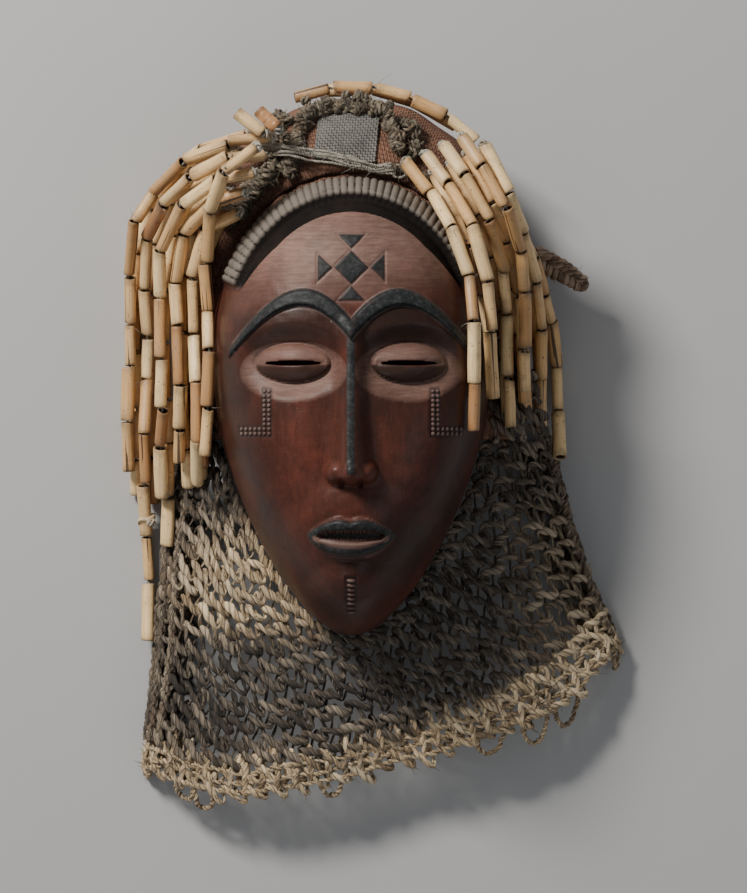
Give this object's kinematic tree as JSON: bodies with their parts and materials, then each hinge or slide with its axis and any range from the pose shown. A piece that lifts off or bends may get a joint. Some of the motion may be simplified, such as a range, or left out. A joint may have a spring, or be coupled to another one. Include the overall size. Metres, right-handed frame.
{
  "type": "african face mask",
  "caption": "Carved wooden face mask with closed slit eyes, a ribbed headband, a woven cap, hanging strands of reed beads and a looped net collar.",
  "frame": {"origin": "centre of the bounding box's underside, with the mask lying on its back at Z 0", "axes": "+Y towards the crown, along the greatest length; +Z out of the face, upwards; +X to the viewer's right"},
  "size_m": [0.2817, 0.3972, 0.1563],
  "materials": {
    "wood": "oiled dark red-brown carved wood with blackened brows, lips and marks, worn and dusty in the hollows",
    "cap_cloth": "coarse woven bark cloth, reddish brown, frayed and dusty",
    "patch_cloth": "grey woven cloth patch, worn",
    "bast_net": "looped net of flat twisted bast, grey brown with a paler hem",
    "dark_fibre": "knotted dark plant fibre",
    "pale_string": "twisted pale string",
    "plait": "plaited brown fibre",
    "reed": "cut lengths of dry straw-coloured reed with dark open ends, some browned and cracked"
  },
  "bodies": {
    "root": {"cap_patch": "patch_cloth", "crown_reeds_back": "reed", "crown_reeds_front": "reed", "fibre_cap": "cap_cloth", "fibre_roll_left": "dark_fibre", "loose_reed_1": "reed", "loose_reed_2": "reed", "net_collar": "bast_net", "patch_border": "dark_fibre", "plaited_tab": "plait", "reeds_left_01": "reed", "reeds_left_02": "reed", "reeds_left_03": "reed", "reeds_left_04": "reed", "reeds_left_05": "reed", "reeds_left_06": "reed", "reeds_left_07": "reed", "reeds_left_08": "reed", "reeds_left_09": "reed", "reeds_left_10": "reed", "reeds_left_11": "reed", "reeds_left_12": "reed", "reeds_left_13": "reed", "reeds_left_14": "reed", "reeds_left_15": "reed", "reeds_right_01": "reed", "reeds_right_02": "reed", "reeds_right_03": "reed", "reeds_right_04": "reed", "reeds_right_05": "reed", "reeds_right_06": "reed", "reeds_right_07": "reed", "reeds_right_08": "reed", "reeds_right_09": "reed", "reeds_right_10": "reed", "reeds_right_11": "reed", "tie_string": "pale_string", "wood_mask": "wood"}
  },
  "joints": []
}
